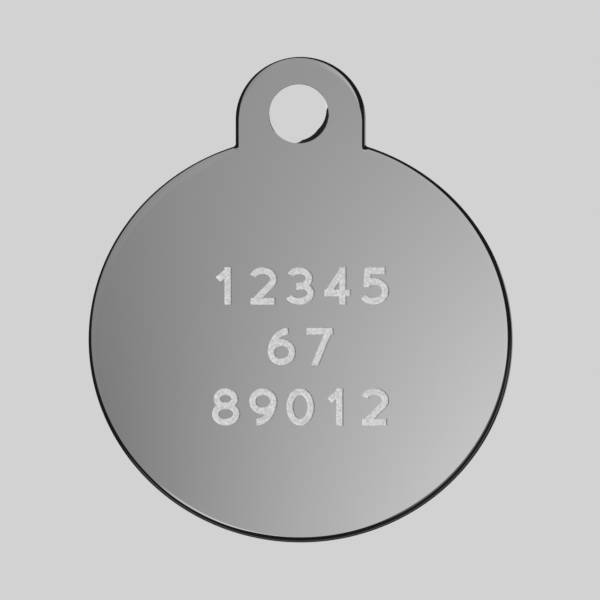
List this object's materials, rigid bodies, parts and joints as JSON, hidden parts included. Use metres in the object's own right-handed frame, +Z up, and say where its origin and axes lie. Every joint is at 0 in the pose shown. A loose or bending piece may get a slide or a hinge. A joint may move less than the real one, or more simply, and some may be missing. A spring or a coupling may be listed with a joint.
{
  "type": "dog tag",
  "caption": "Round flat pet identification tag of polished steel, with a rounded edge and an ear on top that is pierced for a split ring.",
  "frame": {"origin": "middle of the ring hole, half way through the sheet", "axes": "+Z up as the tag hangs, from the disc to the ear; -Y out of the engraved front face; +X to the right as seen from the front"},
  "size_m": [0.027, 0.001, 0.0323],
  "materials": {
    "polished_steel": "mirror-polished stainless steel with tumbled edges and a frosted engraving on the front"
  },
  "bodies": {
    "root": {"tag_plate": "polished_steel"}
  },
  "joints": []
}
